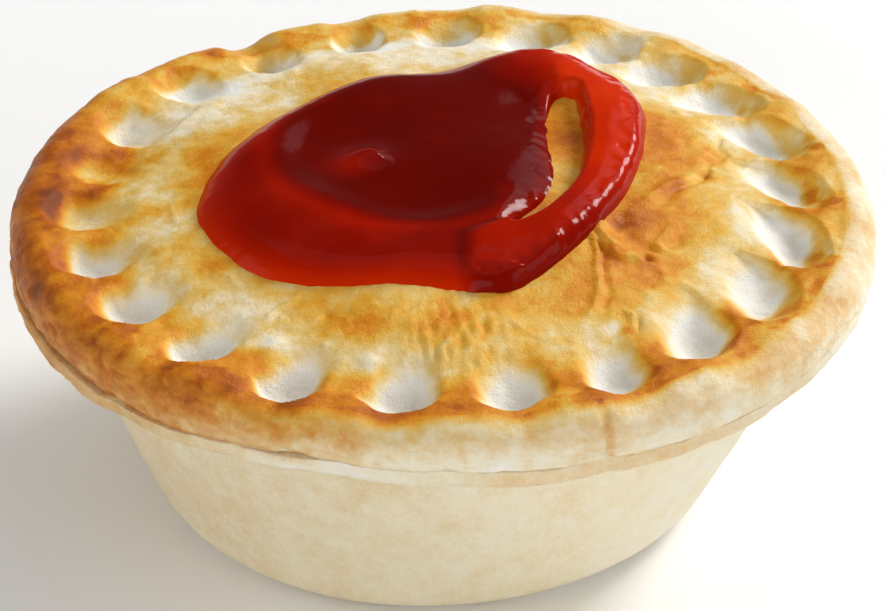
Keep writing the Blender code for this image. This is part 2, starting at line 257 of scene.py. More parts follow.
def strokes(x, y, terms):
    """Sum of soft straight strokes, each from x, y to x, y with a half width and a height. A
    stroke is half as wide and half as high at its far end."""
    total = np.zeros_like(x)
    for x0, y0, x1, y1, half_width, height in terms:
        length2 = (x1 - x0) ** 2 + (y1 - y0) ** 2
        along = np.clip(((x - x0) * (x1 - x0) + (y - y0) * (y1 - y0)) / length2, 0, 1)
        apart = np.hypot(x - x0 - along * (x1 - x0), y - y0 - along * (y1 - y0))
        taper = 1 - 0.5 * along
        total = total + height * taper * np.exp(-((apart / (half_width * taper)) ** 2))
    return total


print("a spot at its edge:", np.round(spots(np.ones(1), np.zeros(1), ((0, 0, 1, 1),)), 2).tolist())

# %% [markdown]
# A grid becomes a mesh in one step: the points are handed over as one array, and so are the
# corners of all faces. Each piece is closed. Either its first and last rows end in a fan of
# triangles round a middle point, or the last row joins the first again, as in a ring.

# %% A closed mesh from a grid
def grid_faces(rows, columns, closed_ends):
    """The corners of all faces, one face after another, and the number of corners of each. With
    closed_ends the two middle points are numbered after all others."""
    number = np.arange(rows * columns).reshape(rows, columns)
    first, second = number, np.roll(number, -1, axis=0)
    if closed_ends:
        first, second = number[:-1], number[1:]
    quads = np.stack([first, second, np.roll(second, -1, 1), np.roll(first, -1, 1)], axis=-1)
    loops, sizes = quads.reshape(-1), np.full(quads.size // 4, 4)
    if closed_ends:
        top, last = rows * columns, rows * columns + 1
        start = np.stack([np.full(columns, top), number[0], np.roll(number[0], -1)], 1)
        finish = np.stack([number[-1], np.full(columns, last), np.roll(number[-1], -1)], 1)
        loops = np.concatenate([loops, start.reshape(-1), finish.reshape(-1)])
        sizes = np.concatenate([sizes, np.full(2 * columns, 3)])
    return loops, sizes


def with_middles(values):
    """A grid as one list, followed by the means of its first and of its last row."""
    flat = values.reshape(-1, values.shape[-1])
    return np.concatenate([flat, [values[0].mean(axis=0), values[-1].mean(axis=0)]])


def skin(name, grid, marks, closed_ends):
    """A mesh from a grid of points in mm, shaped rows x columns x 3. marks are named numbers for
    each point, kept as attributes for the materials."""
    rows, columns = grid.shape[:2]
    points = with_middles(grid) if closed_ends else grid.reshape(-1, 3)
    loops, sizes = grid_faces(rows, columns, closed_ends)
    mesh = bpy.data.meshes.new(name)
    mesh.vertices.add(len(points))
    mesh.vertices.foreach_set("co", ((points + PIE_SHIFT) * MM).astype(np.float32).reshape(-1))
    mesh.loops.add(len(loops))
    mesh.loops.foreach_set("vertex_index", loops.astype(np.int32))
    mesh.polygons.add(len(sizes))
    mesh.polygons.foreach_set("loop_start", (np.cumsum(sizes) - sizes).astype(np.int32))
    mesh.update(calc_edges=True)
    mesh.validate()
    mesh.shade_smooth()
    for label, values in marks.items():
        flat = with_middles(values[..., None]) if closed_ends else values
        layer = mesh.attributes.new(label, "FLOAT", "POINT")
        layer.data.foreach_set("value", flat.astype(np.float32).reshape(-1))
    piece = bpy.data.objects.new(name, mesh)
    bpy.context.scene.collection.objects.link(piece)
    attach(piece, "root")
    print(name, "points", len(points), "triangles", int((sizes - 2).sum()))
    return piece


print("faces of a ring of 3 x 4 points:", len(grid_faces(3, 4, False)[1]))

# %% [markdown]
# ## The crimps
# A baker seals the lid with a fingertip, one print after another, so the prints are alike and
# about evenly spaced, yet no two are the same. Each print is a rounded hollow: steep on the
# outside, where the finger pushed the dough up into the crest, and soft towards the middle.
# Cutting each hollow with a tool shape would leave hard edges. Here one formula gives the depth
# at any point from its distance to the nearest print.

# %% Where the finger pressed
CRIMP_COUNT = 23
CRIMP_START = math.radians(-158.6)
CRIMP_DRIFT = ((1, 2.2, 158), (2, 1.9, -68), (3, 1.5, -167))


def crimp_angles():
    """Even steps round the rim, with a slow drift of a few degrees."""
    turn = 2 * math.pi * np.arange(CRIMP_COUNT) / CRIMP_COUNT
    return CRIMP_START + turn + np.radians(waves(turn, CRIMP_DRIFT))


def nearest_crimp(theta):
    """The angle from the nearest print's middle to the point, the print's number, and the angle
    of its middle."""
    fingers = crimp_angles()
    apart = (theta[..., None] - fingers + math.pi) % (2 * math.pi) - math.pi
    nearest = np.abs(apart).argmin(axis=-1)
    apart = np.take_along_axis(apart, nearest[..., None], axis=-1)[..., 0]
    return apart, nearest, fingers[nearest]


print("crimps at degrees:", np.round(np.degrees(crimp_angles())).astype(int).tolist())

# %% [markdown]
# The depth is (1 - q^2.4)^1.2 of the full depth, where q is the distance from the print's middle
# in half widths, across and outwards. That leaves a round, crisp lip. Towards the middle of the
# pie the power grows and the depth fades as a smooth step. At the left the finger pressed lightly;
# at the right the prints are wide and askew, so that only a sharp ridge is left between them.

# %% Depth of the prints
CREST_RADIUS = 57.6
PRINT_RADIUS = 52.4
PRINT_HALF_WIDTH = 5.3
PRINT_DEPTH = 3.6
PRINT_INWARD = 9.5
PRINT_OUTWARD = 4.4


def crimp(radius, theta):
    """Depth in mm of the finger prints, how strongly the nearest finger pressed at this angle, 0
    to 1, which finger it was, and how far out from the middle of the print the point is."""
    apart, nearest, middle = nearest_crimp(theta)
    sharp = near(middle, -12, 45)
    firm = 1 - 0.6 * near(middle, 170, 26)
    lean = 0.5 + 0.5 * np.cos(middle - math.radians(40))
    half_width = PRINT_HALF_WIDTH * (1 + 0.1 * np.sin(1.7 * nearest + 0.6)) + 2.4 * sharp
    out = radius - PRINT_RADIUS + 2.2 * lean - 0.5 * np.sin(2.3 * nearest + 1.0)
    inward = np.clip(-out / PRINT_INWARD, 0, 1)
    outward = np.clip(out / (PRINT_OUTWARD + 2.2 * lean), 0, 1)
    x, y = radius * np.cos(theta), radius * np.sin(theta)
    uneven = 0.5 * flat_speckle(x, y, 4.0, 61) + 0.25 * flat_speckle(x, y, 1.5, 62)
    across = apart * np.maximum(radius, 44.0) + (0.1 + 0.55 * sharp) * out + uneven
    q = np.hypot(across / (half_width * (1 - 0.3 * inward)), outward)
    full = PRINT_DEPTH * firm * (1 + 0.12 * np.sin(2.9 * nearest + 0.5)) * (1 - 0.15 * sharp)
    hollow = full * np.clip(1 - q**2.4, 0, 1) ** (1.2 + 1.3 * inward)
    hollow = hollow * (1 - blend(inward, 0, 1))
    pressed = firm * np.clip(1 - (apart * CREST_RADIUS / half_width) ** 2, 0, 1) ** 1.5
    return hollow, pressed, nearest, out


ring = np.linspace(-math.pi, math.pi, 721)
print("deepest print in mm:", round(float(crimp(PRINT_RADIUS + 0 * ring, ring)[0].max()), 2))

# %% [markdown]
# ## The lid
# The lid is a sheet of dough laid over the filling. Its height is a low dome, plus broad lumps of
# the filling below, and minus the crimps. The dome is a smooth curve through a few heights.

# %% The dome
LID_PROFILE = (
    (0, 47.2), (16, 47.0), (30, 46.2), (38, 45.2), (43, 44.2), (47, 43.3), (51, 43.0),
    (54.5, 43.4), (57.6, 43.75),
)
RIM_WAVES = ((1, 1.05, -71), (2, 0.55, 31), (3, 0.75, 176), (4, 0.5, -116), (5, 0.2, 13))
LUMPS = ((0.21, 0.13, 0.30, 0.4), (-0.12, 0.24, 0.26, 2.1), (0.31, -0.19, 0.16, 4.0))


def outline(radius, theta):
    """The radius with the rim's unevenness, which fades out towards the middle."""
    return radius + waves(theta, RIM_WAVES) * blend(radius, 40, CREST_RADIUS)


def dome(radius, theta):
    """Height of the smooth lid, with the broad lumps of the filling and without its prints."""
    x, y = radius * np.cos(theta), radius * np.sin(theta)
    lumps = sum(size * np.sin(kx * x + ky * y + phase) for kx, ky, size, phase in LUMPS)
    return through(radius, LID_PROFILE) + lumps * (1 - 0.6 * blend(radius, 40, 50))


print("dome height in mm:", round(float(dome(np.zeros(1), np.zeros(1))[0]), 2))

# %% [markdown]
# The thin skin of the lid dried first and then had to follow the dough below, so it folded, slit
# and blistered. Folds and slits are strokes at chosen places, seen through a warp of a millimetre
# or two, because real folds are never straight. Blisters are small spots. A patch of fine
# wrinkles lies in front of the sauce, and two sizes of noise are the grain.

# %% Folds, blisters and grain
# Start, end, half width and height; a negative height is a slit or a dip beside a fold.
FOLDS = (
    (22.8, -16.0, 27.4, -23.4, 0.9, 0.75), (27.4, -23.4, 33.0, -28.6, 0.8, 0.50),
    (25.0, -13.6, 31.0, -19.5, 1.6, -0.75), (22.0, -19.6, 20.2, -29.0, 0.65, 0.70),
    (23.3, -20.4, 21.6, -28.5, 1.0, -0.75), (20.6, -29.3, 18.6, -37.0, 0.6, 0.60),
    (21.8, -30.0, 20.2, -36.5, 0.9, -0.40), (31.3, -17.8, 33.4, -12.8, 0.55, 0.60),
    (33.0, -17.4, 35.0, -12.4, 0.9, -0.55), (40.4, 13.4, 36.6, -0.8, 1.0, -0.65),
    (36.6, -0.8, 32.2, -10.8, 1.1, -0.75), (38.4, 12.0, 34.8, 0.0, 0.8, 0.35),
    (34.0, -3.5, 31.0, -8.5, 1.2, 0.50), (40.8, 5.0, 47.0, 9.5, 0.8, 0.45),
    (39.0, 1.0, 45.0, 4.0, 0.7, 0.35), (28.9, -21.3, 28.1, -23.9, 0.5, -0.9),
    (24.8, -36.7, 24.5, -39.1, 0.5, -0.9), (23.4, -36.7, 22.9, -38.4, 0.8, 0.60),
    (26.9, -21.2, 26.4, -23.2, 0.9, 0.50), (-26.4, -35.4, -20.0, -30.0, 0.8, 0.40),
    (-25.4, -36.2, -19.6, -31.2, 0.7, -0.30), (-33.0, -24.0, -27.0, -28.0, 0.7, 0.32),
    (-14.2, -35.4, -11.4, -37.0, 0.6, -0.45), (-46, 16, -50, 2, 3.0, -0.7),
    (-35.0, 22.0, -44.0, 17.0, 1.4, 0.50), (12.0, 43.0, 22.0, 40.0, 1.2, 0.40),
    (-38.0, -6.0, -34.0, -14.0, 1.2, 0.25), (8.0, -36.0, 16.0, -40.0, 1.0, 0.25),
)
# Place, radius and height.
BLISTERS = (
    (-4.5, -38.5, 1.1, 0.35), (-2.6, -40.4, 0.8, 0.30), (-0.8, -38.0, 0.9, 0.32),
    (0.6, -41.3, 0.8, 0.28), (2.2, -38.6, 0.9, 0.30), (3.6, -42.0, 0.8, 0.25),
    (4.6, -39.6, 1.0, 0.30), (6.6, -37.3, 1.2, 0.34), (8.4, -40.4, 0.9, 0.28),
    (-7.0, -36.6, 1.0, 0.28), (33.5, 9.0, 1.0, 0.40), (31.0, 1.0, 1.2, 0.40),
    (37.0, -8.5, 0.9, 0.22), (39.0, -12.5, 0.8, 0.25), (41.2, 3.0, 0.8, 0.22),
    (35.0, 20.0, 1.0, 0.35), (-38.0, -12.0, 0.9, 0.2), (-20.0, 37.0, 1.3, 0.3),
    (-10.0, -44.4, 1.2, 0.75), (-23.7, -40.8, 1.1, 0.50), (-22.5, -39.9, 1.1, 0.50),
    (17.0, -42.0, 0.7, 0.25), (9.0, -45.5, 0.8, 0.22), (-16.0, -41.0, 0.8, 0.2),
)
WRINKLED_PLACE = ((1.5, -40.0, 7.5, 1.0),)


def folds(x, y):
    """The strokes of FOLDS, seen through a warp, so that none is straight."""
    warp_x = 2.4 * flat_speckle(x, y, 6.0, 33) + 0.9 * flat_speckle(x, y, 2.2, 35)
    warp_y = 2.4 * flat_speckle(x, y, 6.0, 34) + 0.9 * flat_speckle(x, y, 2.2, 36)
    return strokes(x + warp_x, y + warp_y, FOLDS)


def wrinkles(x, y):
    """Waves about 2 mm apart, bent and broken up by noise, at one place."""
    bent = 3.4 * x + 2.2 * flat_speckle(x, y, 3.0, 31)
    return spots(x, y, WRINKLED_PLACE) * np.sin(bent) * flat_speckle(x, y, 2.4, 32)


def lid_relief(x, y):
    """Folds, blisters, wrinkles and grain of the baked skin, as a height."""
    grain = 0.20 * flat_rough(x, y, 7.0, 3) + 0.13 * flat_rough(x, y, 1.9, 5)
    return folds(x, y) + spots(x, y, BLISTERS) + 0.32 * wrinkles(x, y) + grain


print("folds:", len(FOLDS), "blisters:", len(BLISTERS))

# %% [markdown]
# The crest is the edge that the finger pushed up. It isn't level: it dips a little outside each
# print, and clearly at one of them, where the finger ran over the edge.

# %% Height of the lid
CREST_WAVES = ((1, 0.65, -120), (2, 0.3, -70), (5, 0.2, 20))
OVERRUN_PRINT = 18


def lid_height(radius, theta):
    """Height of the lid's upper side from the middle to the crest, and the relief in it."""
    hollow, pressed, nearest, _ = crimp(radius, theta)
    crest = waves(theta, CREST_WAVES) * blend(radius, 46, CREST_RADIUS)
    dip = 0.8 + 1.5 * (nearest == OVERRUN_PRINT)
    crest = crest - dip * pressed * blend(radius, 54, CREST_RADIUS)
    relief = lid_relief(radius * np.cos(theta), radius * np.sin(theta))
    return dome(radius, theta) + crest + relief - hollow, relief


crest_height = lid_height(CREST_RADIUS + 0 * ring, ring)[0]
print("crest from", round(float(crest_height.min()), 1), "to", round(float(crest_height.max()), 1))

# %% [markdown]
# ## The side of the rim
# The rim's outer side was cut with a knife and never smoothed. Its relief is a few layers: broad
# dents, thin flakes that end in a little cliff, fine cracks where the flour shows, and upright
# creases. The case's flange takes the same relief, so that the two meet without a jump.

# %% Rim side relief
RIM_RADIUS = 62.0
# Angle in degrees, half width and depth.
CREASES = ((-70.0, 0.55, 0.55), (-136.0, 0.6, 0.22), (-88.0, 0.7, 0.15), (-40.0, 0.5, 0.15))


def side_relief(z, theta):
    """How far the rim side stands out or in at a height and an angle. A flake is a rough patch
    cut off at one level, which leaves a thin cliff round it. A crack follows the line where noise
    passes through zero. A crease is a narrow upright groove at one angle."""
    x, y = RIM_RADIUS * np.cos(theta), RIM_RADIUS * np.sin(theta)
    flakes = blend(rough(x, y, 2.2 * z, 4.5, 41), 0.04, 0.12)
    flakes = flakes * (0.10 + 0.12 * near(theta, -150, 50))
    cracks = np.exp(-((rough(x, y, 2.6 * z, 8.0, 46) / 0.05) ** 2))
    cracks = 0.24 * cracks * (0.25 + 0.75 * near(theta, -140, 45))
    dents = 0.22 * rough(x, y, z, 6.0, 42) + 0.12 * rough(x, y, z, 1.8, 43)
    creases = 0.0
    for angle, half_width, depth in CREASES:
        creases = creases + depth * near(theta, angle, math.degrees(half_width / RIM_RADIUS))
    return dents + flakes - cracks - creases


print("side relief in mm:", np.round(side_relief(40.0 + 0 * ring, ring)[::180], 2).tolist())

# %% [markdown]
# Where the lid meets the flange there is a seam. Pressing joined the dough at the right and in
# most of the front, so there the seam is hardly seen. At the left it stayed open as a shadowed
# groove, and at one place in front the lid lifted by a millimetre and juice came out.

# %% The seam
SEAM_LEVEL = 37.7
SEAM_WAVES = ((3, 0.3, 40), (5, 0.25, 200), (9, 0.15, 75))
SPLIT_ANGLE = -108.5


def seam_level(theta):
    """Height of the seam round the pie, uneven at the scale of a few mm."""
    x, y = RIM_RADIUS * np.cos(theta), RIM_RADIUS * np.sin(theta)
    return SEAM_LEVEL + waves(theta, SEAM_WAVES) + 0.28 * flat_rough(x, y, 5.0, 44)


def split(theta):
    """How far the lid has lifted off the flange: about 1 mm at one place in front."""
    return near(theta, SPLIT_ANGLE, 2.4) + 0.25 * near(theta, -103.5, 1.6)


def openness(theta):
    """How open the seam is, from 0 where the dough joined to 1 where it left a groove."""
    x, y = RIM_RADIUS * np.cos(theta), RIM_RADIUS * np.sin(theta)
    here = 0.10 + 0.5 * near(theta, -160, 32) + 0.5 * near(theta, -96, 4)
    return np.clip(here + 0.8 * flat_rough(x, y, 6.0, 45), 0.02, 1.1)


print("share of the seam that is open:", round(float((openness(ring) > 0.5).mean()), 2))

# %% [markdown]
# ## How the oven browned it
# Pastry browns where it is high, thin and glazed, and stays pale where a finger pressed it flat
# and the dough stayed cool. So one number for each point, bake, runs from 0 for raw white to 1
# for dark brown, and the material turns it into colour. On the rim side, along the open seam, on
# the case wall and on the crust in the sauce's gap it also carries painted shade. A painted
# picture could do this too, but bake follows from the shape, so brown ridges and white hollows
# always fall in the right place.

# %% Bake of the lid
# Place, radius and strength; a negative strength is a pale spot.
BROWN_AND_SHADE_SPOTS = (
    # On the dome: folds and lumps, and the crust that shows in the gap of the sauce, darkened by a
    # film of sauce and by painted shade.
    (-41.5, -5.5, 3.5, 0.16), (-10.5, -39.2, 3.6, 0.24), (-13.4, -37.4, 2.4, 0.10),
    (0.0, -37.0, 5.0, 0.10), (26.5, -15.0, 3.6, 0.20), (31.0, -10.0, 5.5, 0.16),
    (34.0, 4.0, 5.0, 0.12), (22.8, -22.5, 2.6, 0.20), (33.0, -3.5, 2.6, 0.2),
    (28.5, -22.3, 0.9, 0.30), (24.7, -37.9, 0.9, 0.34), (20.0, -33.0, 5.0, 0.10),
    # The spots at 18.5, 8 and 13.5, -10 darken the crust in the sauce's gap: a film of sauce, and
    # painted shade.
    (36.5, 12.0, 8.0, 0.08), (18.5, 8.0, 9.0, 0.34), (13.5, -10.0, 5.0, 0.36),
    (27.5, -11.0, 7.0, 0.14), (24.0, -21.0, 4.0, 0.10), (27.0, -29.0, 7.0, 0.14),
    (-33.0, 6.0, 3.0, 0.26), (-30.5, 11.5, 2.6, 0.22), (-34.5, 0.5, 2.2, 0.18),
    # On the crest and between the prints.
    (-47.5, 11.0, 4.5, 0.26), (-53.0, -3.0, 4.0, 0.22), (-50.0, 2.0, 3.0, 0.2),
    (27.0, -51.5, 3.2, 0.14), (32.5, -48.0, 3.6, 0.16), (20.3, -54.0, 3.0, 0.10),
    (-19.0, -52.0, 3.0, 0.12), (-31.0, -46.0, 3.4, 0.14), (-45.0, -31.0, 3.6, 0.16),
    (-50.0, -25.0, 3.0, 0.10), (48.0, -30.0, 2.6, 0.12), (5.0, -56.0, 2.6, 0.08),
    (42.0, 41.0, 5.0, 0.14), (20.0, 54.0, 4.0, 0.10),
    # Pale: white scars beside folds, and places that the heat hardly reached.
    (25.8, -22.6, 1.6, -0.22), (22.8, -37.6, 1.6, -0.34), (-10.0, -44.6, 1.8, -0.26),
    (-22.9, -40.4, 2.0, -0.20), (-39.0, -14.0, 4.5, -0.16), (-28.0, -30.5, 5.0, -0.10),
    (-37.0, 22.0, 6.0, -0.14), (-30.0, 30.0, 6.0, -0.12), (-6.0, 40.0, 8.0, -0.12),
    (30.0, 33.0, 6.0, -0.1),
)
BROWN_ENOUGH = 0.66


def lid_bake(x, y, theta, radius, relief):
    """Golden on the dome, white on the floors of the prints and in a halo inside them, brown on
    their outer walls, on the ridges between them and on the crest. Past BROWN_ENOUGH the browning
    slows down, so that no spot burns."""
    hollow, pressed, _, out = crimp(radius, theta)
    outer_wall = blend(out, 1.0, 3.4)
    right = near(theta, 0, 50)
    crest = blend(radius, 53.0, 56.6) * (0.06 + 0.16 * np.cos(theta - math.radians(175)))
    ridge = (0.18 - 0.10 * right) * blend(radius, 45, 51) * (1 - blend(hollow, 0.1, 0.9))
    ridge = ridge * (1 - 0.4 * blend(radius, 53, 57))
    pale = blend(hollow, 0.15, 2.9) * (1 - 0.85 * outer_wall) * (1 - 0.4 * near(theta, 125, 55))
    halo = (0.15 + 0.16 * right) * blend(radius, 37, 44.5) * (1 - blend(radius, 47, 51))
    halo = halo * (0.6 + 0.4 * pressed)
    blotch = (0.16 * outer_wall + 0.10 * right) * blend(radius, 49, 53)
    blotch = blotch * blend(flat_rough(x, y, 4.0, 19), 0.0, 0.3)
    mottle = 0.15 * flat_rough(x, y, 8.0, 11) + 0.14 * flat_rough(x, y, 2.8, 12)
    mottle = (mottle + 0.06 * flat_rough(x, y, 1.1, 15)) * (1 - 0.6 * pale)
    bake = 0.50 + 0.04 * blend(x, 15, 40) - 0.17 * blend(y, 10, 38)
    bake = bake + crest + ridge + blotch + mottle - halo - 0.55 * pale
    bake = bake + 0.14 * near(theta, 180, 55) * outer_wall * blend(hollow, 0.1, 0.8)
    bake = bake + spots(x, y, BROWN_AND_SHADE_SPOTS) - 0.07 * np.clip(relief, -1, 1)
    extra = np.clip(bake - BROWN_ENOUGH, 0, 1)
    return bake - 0.35 * extra * (1 - 0.5 * near(theta, 175, 40))


print("brown and pale spots:", len(BROWN_AND_SHADE_SPOTS))

# %% [markdown]
# The side of the rim is mottled brown at the left front and pale cream at the right. This is partly
# browning, as the left front stood nearer the heat, and partly painted shade, darker away from the
# lamps at the right. The egg glaze was brushed on top and ran a little way over the shoulder,
# further at the left, so a second number, glazed, falls from 1 to 0 down the side.

# %% Bake and painted shade of the rim side
BROWNEST_ANGLE = -165


def side_bake_and_shade(x, y, z, theta):
    """Bake of the upright side: a share for the angle, partly browning and partly painted shade
    that darkens the left, a browner upper band, mottling in two sizes, and a spot of juice beside
    the split."""
    # Partly painted shade: besides its browning, the side darkens towards the left, away from the
    # lamps.
    heat_and_shade = blend(np.cos(theta - math.radians(185)), 0.0, 0.95)
    bake = 0.18 + 0.46 * heat_and_shade + 0.06 * near(theta, -40, 30) + 0.08 * near(theta, -170, 40)
    bake = bake + 0.13 * blend(z, 38.6, 42.0)
    left = near(theta, -160, 50)
    bake = bake + (0.09 + 0.07 * left) * rough(x, y, 0.8 * z, 4.2, 13)
    bake = bake + (0.09 + 0.06 * left) * rough(x, y, 1.5 * z, 1.5, 14)
    juice = near(theta, -103.4, 0.8) * np.exp(-(((z - 38.2) / 0.35) ** 2))
    return bake + 0.6 * juice


def rim_marks(points, theta, down, bumps, crest_bake):
    """Bake and glaze of the rows below the crest. down runs from 0 at the crest to 1 at the seam.
    Standing relief is paler and hollows are browner; the split is darker, and painted shade darkens
    the open seam at the left."""
    x, y, z = np.moveaxis(points, -1, 0)
    ragged = down + 0.07 * rough(x, y, z, 4.0, 17)
    facing = np.cos(theta - math.radians(BROWNEST_ANGLE))
    fade = blend(ragged, -0.03, 0.20 + 0.12 * facing)
    bake = crest_bake * (1 - fade) + side_bake_and_shade(x, y, z, theta) * fade
    bake = bake - 0.35 * np.clip(bumps, -0.5, 0.1) * (z > SEAM_LEVEL)
    above = z - seam_level(theta) - split(theta)
    bake = bake + 0.30 * near(theta, SPLIT_ANGLE, 2.2) * blend(-above, -0.5, 0.1)
    # Painted shade along the open seam at the left, just above the groove.
    bake = bake + 0.26 * near(theta, -160, 34) * blend(1.1 - above, 0, 1)
    return bake, 1 - blend(ragged, 0.0, 0.46 + 0.34 * facing)


side = side_bake_and_shade(RIM_RADIUS * np.cos(ring), RIM_RADIUS * np.sin(ring), 40.0 + 0 * ring, ring)
print("side bake from", round(float(side.min()), 2), "to", round(float(side.max()), 2))

# %% [markdown]
# ## The lid as one piece
# The lid's rows start in the middle of the dome and lie closest together where the prints are.
# Then they go over the shoulder, a quarter of an ellipse, down the upright side to the seam, in
# over a small round edge, and back along the underside, which the case holds up.

# %% Rows of the lid
LID_COLUMNS = 640
SHOULDER_ROWS = 22
SIDE_DROP = 1.9
# Distance in from the rim side, height above the seam, and how much of the relief it takes.
UNDERSIDE = (
    (0.12, 0.07, 0.8), (0.4, 0.0, 0.4), (1.4, 0.0, 0), (8.0, 0.0, 0), (18.0, 1.5, 0),
    (32.0, 3.9, 0), (57.0, 5.1, 0),
)


def rim_rows(theta, crest):
    """Rows below the crest, whose height is given: radius, height, how much of the side's relief
    each takes, and how far down it is, from 0 at the crest to 1 at the seam."""
    turn = (0.5 * math.pi * np.arange(1, SHOULDER_ROWS + 1) / SHOULDER_ROWS)[:, None]
    side_level = SEAM_LEVEL + SIDE_DROP
    shoulder_radius = CREST_RADIUS + (RIM_RADIUS - CREST_RADIUS) * np.sin(turn) + 0 * theta
    shoulder_height = side_level + (crest - side_level) * np.cos(turn)
    drop = np.linspace(0.1, 1, 9)[:, None]
    edge = seam_level(theta) + split(theta)
    groove = 0.6 * near(theta, -160, 34)
    side_radius = RIM_RADIUS + 0.1 * np.sin(math.pi * drop) - groove * drop**2
    side_height = side_level + (edge + 0.2 * openness(theta) - side_level) * drop
    inset, rise, taken = (np.array(column, float)[:, None] for column in zip(*UNDERSIDE))
    under_radius = RIM_RADIUS - inset - groove * (inset < 1)
    under_height = rise * np.where(inset < 1, openness(theta), 1.0) + edge
    radius = np.concatenate([shoulder_radius, side_radius, under_radius])
    height = np.concatenate([shoulder_height, side_height, under_height])
    taken = np.concatenate([blend(turn, 0.15, 0.8), np.ones_like(drop), taken])
    down = np.concatenate([1.2 * turn / math.pi, 0.6 + 0.4 * drop, np.ones_like(inset)])
    return radius, height, taken, down


def lid_grid():
    """All rows of the lid, with the numbers bake and glazed for each point."""
    theta = 2 * math.pi * np.arange(LID_COLUMNS) / LID_COLUMNS
    distances = np.concatenate([
        np.linspace(0.6, 22, 10, endpoint=False),
        np.linspace(22, 38, 27, endpoint=False),
        np.linspace(38, CREST_RADIUS, 58),
    ])
    radius, angle = np.meshgrid(distances, theta, indexing="ij")
    height, relief = lid_height(radius, angle)
    low_radius, low_height, taken, down = rim_rows(theta, height[-1])
    bumps = side_relief(low_height, theta + 0 * low_height)
    low_radius = outline(low_radius, theta) + taken * bumps
    reach = np.concatenate([outline(radius, angle), low_radius])
    height = np.concatenate([height, low_height])
    grid = np.stack([reach * np.cos(theta), reach * np.sin(theta), height], axis=-1)
    top, low = np.split(grid, [len(distances)])
    top_bake = lid_bake(top[..., 0], top[..., 1], angle, radius, relief)
    low_bake, low_glazed = rim_marks(low, theta, down, bumps, top_bake[-1])
    bake = np.concatenate([top_bake, low_bake])
    return grid, {"bake": bake, "glazed": np.concatenate([np.ones_like(top_bake), low_glazed])}


lid_points, lid_marks = lid_grid()
lid = skin("lid_pastry", lid_points, lid_marks, closed_ends=True)
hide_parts("pastry_lid")

# %% [markdown]
# ## The case
# The case is short pastry pressed into a deep tin and turned out again: a flat base, a rounded
# foot, a slanted wall and a flange on which the lid is sealed. A lathe or Blender's Spin tool
# would turn such a profile, but the real one is a little uneven, so it is a grid like the lid.
# As the uncut pie shows no inside, it is closed under the lid.

# %% Flange of the case
FLANGE_RADIUS = 62.05
WALL_WAVES = ((3, 0.3, 15), (5, 0.25, 130))
# Radius, height from the seam, and how much of the rim side's relief it takes.
FLANGE = (
    (5.0, 5.1, 0), (30.0, 3.9, 0), (44.0, 1.5, 0), (54.0, 0.0, 0), (60.0, 0.0, 0),
    (61.0, 0.0, 0.2), (61.6, -0.03, 0.6), (61.9, -0.14, 1), (62.03, -0.4, 1), (62.05, -0.85, 1),
    (62.0, -1.3, 1), (61.95, -1.65, 1), (61.85, -2.0, 1), (61.6, -2.4, 1), (61.2, -2.8, 0.8),
    (60.6, -3.05, 0.5), (59.7, -3.2, 0.3), (58.4, -3.3, 0.3), (57.0, -3.45, 0.3),
    (56.1, -3.9, 0.3), (55.5, -4.7, 0.3),
)


def flange_rows(theta):
    """Rows from the middle under the lid out over the flange. Where the seam is closed, the
    flange's upper edge is square and reaches a little into the lid; where it is open, the edge is
    rounded off. At the left the flange stands out as a ledge with thin layers."""
    radius, rise, taken = (np.array(column, float)[:, None] for column in zip(*FLANGE))
    upper = (radius > 61.5) * (rise > -0.9)
    radius = np.where(upper, FLANGE_RADIUS - (FLANGE_RADIUS - radius) * openness(theta), radius)
    rise = np.where(upper, rise * openness(theta), rise)
    joined = 0.25 * (1 - blend(openness(theta), 0.15, 0.45))
    height = rise + seam_level(theta) - 0.05 + joined
    height = height + 0.5 * waves(theta, WALL_WAVES) * blend(-rise, 1.0, 3.0) * (radius > 56)
    height = height + split(theta) * (radius > 50) * (radius < 61.3)
    ledge = 0.05 + 0.35 * near(theta, -150, 40) - 0.1 * near(theta, -45, 30)
    layers = 0.10 * near(theta, -150, 50) * np.sin(6.0 * rise + 1.5 * np.sin(5 * theta))
    reach = outline(radius + (ledge + layers) * blend(radius, 60.5, 62.2), theta)
    reach = reach + taken * side_relief(height, theta + 0 * height)
    return np.stack([reach * np.cos(theta), reach * np.sin(theta), height], axis=-1)


print("flange rows:", len(FLANGE))

# %% [markdown]
# The wall slants and bulges by half a millimetre, and an arc joins it to the base. The base sits
# a little to the left and to the front of the rim, as in a pie that slumped while it was warm.

# %% Wall and base of the case
WALL_TOP_RADIUS = 55.1
WALL_FOOT_RADIUS = 43.3
WALL_TOP_LEVEL = 32.4
WALL_FOOT_LEVEL = 4.5
WALL_ROWS = 64
FOOT_ROWS = 12
FLANGE_UNDERSIDE = 34.6
BASE_SHIFT = (-2.0, -2.5)


def wall_profile():
    """Radius and height of the wall, the rounded foot and the flat base, from the top down. The
    foot is an arc that starts in line with the wall and ends level with the base."""
    level = np.linspace(WALL_TOP_LEVEL - 1.0, WALL_FOOT_LEVEL, WALL_ROWS)
    share = (level - WALL_FOOT_LEVEL) / (WALL_TOP_LEVEL - WALL_FOOT_LEVEL)
    wall = WALL_FOOT_RADIUS + (WALL_TOP_RADIUS - WALL_FOOT_RADIUS) * share
    wall = wall + 0.5 * np.sin(math.pi * share)
    slant = math.atan((WALL_TOP_RADIUS - WALL_FOOT_RADIUS) / (WALL_TOP_LEVEL - WALL_FOOT_LEVEL))
    arc = WALL_FOOT_LEVEL / (1 - math.sin(slant))
    turn = np.linspace(slant, 0.5 * math.pi, FOOT_ROWS + 1)[1:]
    foot = WALL_FOOT_RADIUS - arc * (math.cos(slant) - np.cos(turn))
    radius = np.concatenate([wall, foot, [20.0, 3.0]])
    level = np.concatenate([level, arc * (1 - np.sin(turn)), [0.0, 0.0]])
    return radius[:, None], level[:, None]


